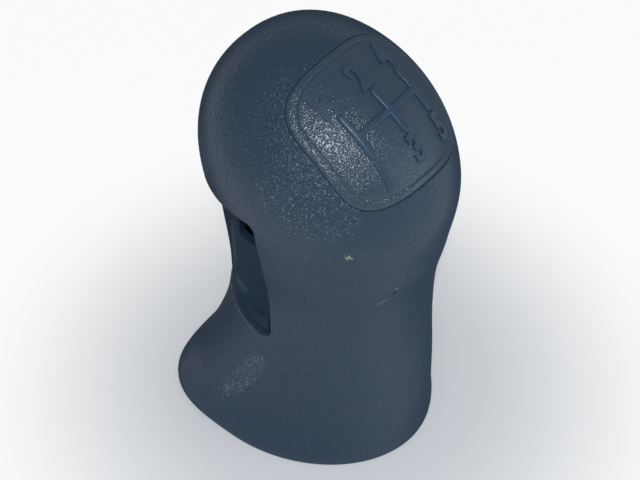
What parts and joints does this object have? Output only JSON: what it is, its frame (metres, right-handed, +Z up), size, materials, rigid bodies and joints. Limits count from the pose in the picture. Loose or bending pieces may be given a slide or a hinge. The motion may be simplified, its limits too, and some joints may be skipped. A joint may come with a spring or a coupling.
{
  "type": "gear shift knob",
  "caption": "Gear shift knob: hollow moulded head and skirt, shift-pattern cap, and a spring-loaded reverse-lock trigger in a window of its neck.",
  "frame": {"origin": "on the lever's axis, in the plane of the skirt's rim", "axes": "+Z up the lever, +Y forward towards the trigger and the nose, +X to the right seen by the driver"},
  "size_m": [0.0528, 0.0625, 0.1032],
  "materials": {
    "soft_plastic": "fine leather grain, satin",
    "trigger_plastic": "smooth satin",
    "core_plastic": "moulded",
    "steel": "bright zinc"
  },
  "bodies": {
    "knob": {"knob_shell": "soft_plastic", "pattern_cap": "soft_plastic", "lever_core": "core_plastic", "lever_bush": "steel", "return_spring": "steel", "spring_washer": "steel", "stop_ring": "steel", "core_screws": "steel"},
    "trigger": {"reverse_trigger": "trigger_plastic"}
  },
  "joints": [
    {"name": "trigger_lift", "type": "slide", "parent": "knob", "child": "trigger", "axis": [0, 0, 1], "range_m": [0, 0.008], "stiffness_N_per_m": 600, "springref_m": -0.006, "deforming": ["return_spring"]}
  ]
}
